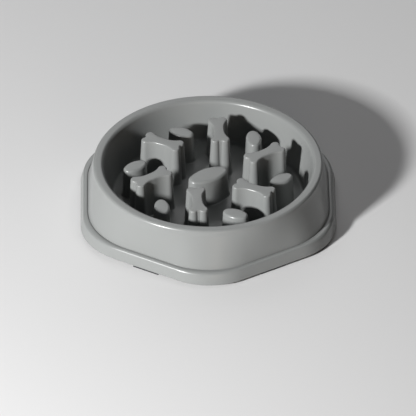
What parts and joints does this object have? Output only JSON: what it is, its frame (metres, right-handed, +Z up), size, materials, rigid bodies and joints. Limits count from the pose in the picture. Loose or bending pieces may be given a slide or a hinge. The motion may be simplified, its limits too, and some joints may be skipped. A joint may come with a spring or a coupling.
{
  "type": "slow feeder bowl",
  "caption": "Round grey slow feeder bowl on a rounded hexagon foot flange, with bone-shaped and oval hollow posts on the basin floor and rubber anti-slip strips plugged in underneath",
  "frame": {"origin": "on the surface that the bowl stands on, under the middle of the round basin", "axes": "+Z up, out of the open top of the bowl; +Y runs from the middle to the back corner of the hexagon flange, -Y to the corner that faces the camera in the picture; +X runs to the middle of the right-hand flat side"},
  "size_m": [0.215, 0.2318, 0.0442],
  "materials": {
    "shell_plastic": "satin to glossy moulded grey plastic",
    "strip_rubber": "matt dark rubber"
  },
  "bodies": {
    "root": {"bowl_shell": "shell_plastic", "strip_right": "strip_rubber", "strip_back_right": "strip_rubber", "strip_back_left": "strip_rubber", "strip_left": "strip_rubber", "strip_front_left": "strip_rubber", "strip_front_right": "strip_rubber"}
  },
  "joints": []
}
